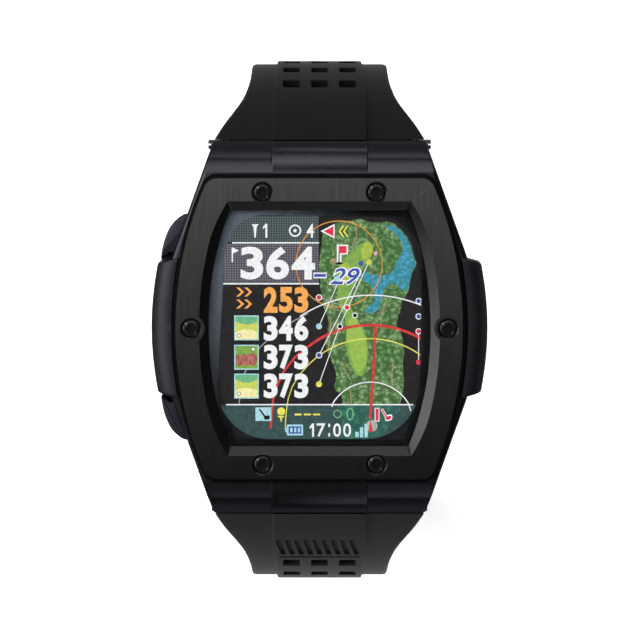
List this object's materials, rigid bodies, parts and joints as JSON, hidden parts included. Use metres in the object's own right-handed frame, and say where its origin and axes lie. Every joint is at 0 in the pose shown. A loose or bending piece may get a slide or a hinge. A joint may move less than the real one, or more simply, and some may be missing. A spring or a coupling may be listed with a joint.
{
  "type": "golf gps watch",
  "caption": "Golf GPS wrist watch with a barrel-shaped black case, screwed bezel, course-map display, side guards, push-buttons and a ribbed rubber strap.",
  "frame": {"origin": "centre of the case back's outer face", "axes": "+Z out of the dial, +Y to 12 o'clock, +X to 3 o'clock; the case back faces -Z"},
  "size_m": [0.0486, 0.0768, 0.0744],
  "materials": {
    "case_black": "satin black coated case",
    "bezel_black": "brushed black coated steel",
    "screw_black": "black oxide screws",
    "bare_steel": "bare steel",
    "crystal_glass": "clear mineral glass",
    "mask_black": "gloss black print",
    "display": "lit colour display",
    "flex_amber": "polyimide flex",
    "inner_plastic": "moulded frame",
    "pcb_green": "solder mask",
    "chip_black": "epoxy package",
    "ceramic": "ceramic patch",
    "battery_foil": "pouch foil",
    "lead_red": "insulated lead",
    "seal_rubber": "moulded seal",
    "gold": "gold plated contact",
    "back_steel": "blasted coated back",
    "guard_black": "satin black guard",
    "button_black": "satin blue-black cap",
    "strap_rubber": "matte black rubber",
    "buckle_black": "black coated buckle"
  },
  "bodies": {
    "case": {"case_middle": "case_black", "case_back": "back_steel", "case_back_gasket": "seal_rubber", "case_back_screws": "bare_steel", "bezel": "bezel_black", "bezel_screws": "screw_black", "crystal": "crystal_glass", "crystal_gasket": "seal_rubber", "display_mask": "mask_black", "touch_panel": "mask_black", "display_module": "display", "display_flex": "flex_amber", "inner_frame": "inner_plastic", "main_pcb": "pcb_green", "processor_chip": "chip_black", "shield_can": "bare_steel", "gps_antenna": "ceramic", "battery": "battery_foil", "battery_lead": "lead_red", "vibration_motor": "bare_steel", "charging_contact_block": "inner_plastic", "charging_contacts": "gold", "pcb_screws": "bare_steel", "side_guard_left": "guard_black", "side_guard_right": "guard_black", "guard_screws": "bare_steel", "upper_button_spring": "bare_steel", "lower_button_spring": "bare_steel", "button_switches": "inner_plastic", "side_key_board": "flex_amber", "strap_bars": "bare_steel", "strap_bar_screws": "screw_black"},
    "upper_button": {"upper_button_cap": "button_black", "upper_button_stem": "bare_steel", "upper_button_oring": "seal_rubber", "upper_button_clip": "bare_steel"},
    "lower_button": {"lower_button_cap": "button_black", "lower_button_stem": "bare_steel", "lower_button_oring": "seal_rubber", "lower_button_clip": "bare_steel"},
    "upper_plunger": {"upper_switch_plunger": "ceramic"},
    "lower_plunger": {"lower_switch_plunger": "ceramic"},
    "upper_strap": {"strap_upper": "strap_rubber", "fixed_keeper": "strap_rubber"},
    "lower_strap": {"strap_lower": "strap_rubber"},
    "keeper": {"free_keeper": "strap_rubber"},
    "buckle": {"buckle_frame": "buckle_black", "buckle_spring_bar": "bare_steel"},
    "tongue": {"buckle_tongue": "buckle_black"}
  },
  "joints": [
    {"name": "upper_button_press", "type": "slide", "parent": "case", "child": "upper_button", "axis": [0.9409, -0.3387, 0], "range_m": [0, 0.0005], "stiffness_N_per_m": 2500, "springref_m": -0.0004, "deforming": ["upper_button_spring"]},
    {"name": "lower_button_press", "type": "slide", "parent": "case", "child": "lower_button", "axis": [0.9409, 0.3387, 0], "range_m": [0, 0.0005], "stiffness_N_per_m": 2500, "springref_m": -0.0004, "deforming": ["lower_button_spring"]},
    {"name": "upper_plunger_slide", "type": "slide", "parent": "case", "child": "upper_plunger", "axis": [0.9409, -0.3387, 0], "range_m": [0, 0.0005]},
    {"name": "lower_plunger_slide", "type": "slide", "parent": "case", "child": "lower_plunger", "axis": [0.9409, 0.3387, 0], "range_m": [0, 0.0005]},
    {"name": "strap_upper_hinge", "type": "hinge", "parent": "case", "child": "upper_strap", "pos_m": [0, 0.02635, 0.0054], "axis": [-1, 0, 0], "range_deg": [0, 8]},
    {"name": "strap_lower_hinge", "type": "hinge", "parent": "case", "child": "lower_strap", "pos_m": [0, -0.02635, 0.0054], "axis": [1, 0, 0], "range_deg": [0, 8]},
    {"name": "free_keeper_slide", "type": "slide", "parent": "upper_strap", "child": "keeper", "axis": [0, -0.2873, -0.9578], "range_m": [-0.017, 0.0008]},
    {"name": "buckle_hinge", "type": "hinge", "parent": "upper_strap", "child": "buckle", "pos_m": [0, 0.0239, -0.0591], "axis": [1, 0, 0], "range_deg": [-30, 100]},
    {"name": "tongue_hinge", "type": "hinge", "parent": "buckle", "child": "tongue", "pos_m": [0, 0.0239, -0.0591], "axis": [1, 0, 0], "range_deg": [0, 90]}
  ],
  "couplings": [
    {"joint": "upper_plunger_slide", "follows": "upper_button_press", "ratio": 1},
    {"joint": "lower_plunger_slide", "follows": "lower_button_press", "ratio": 1}
  ]
}
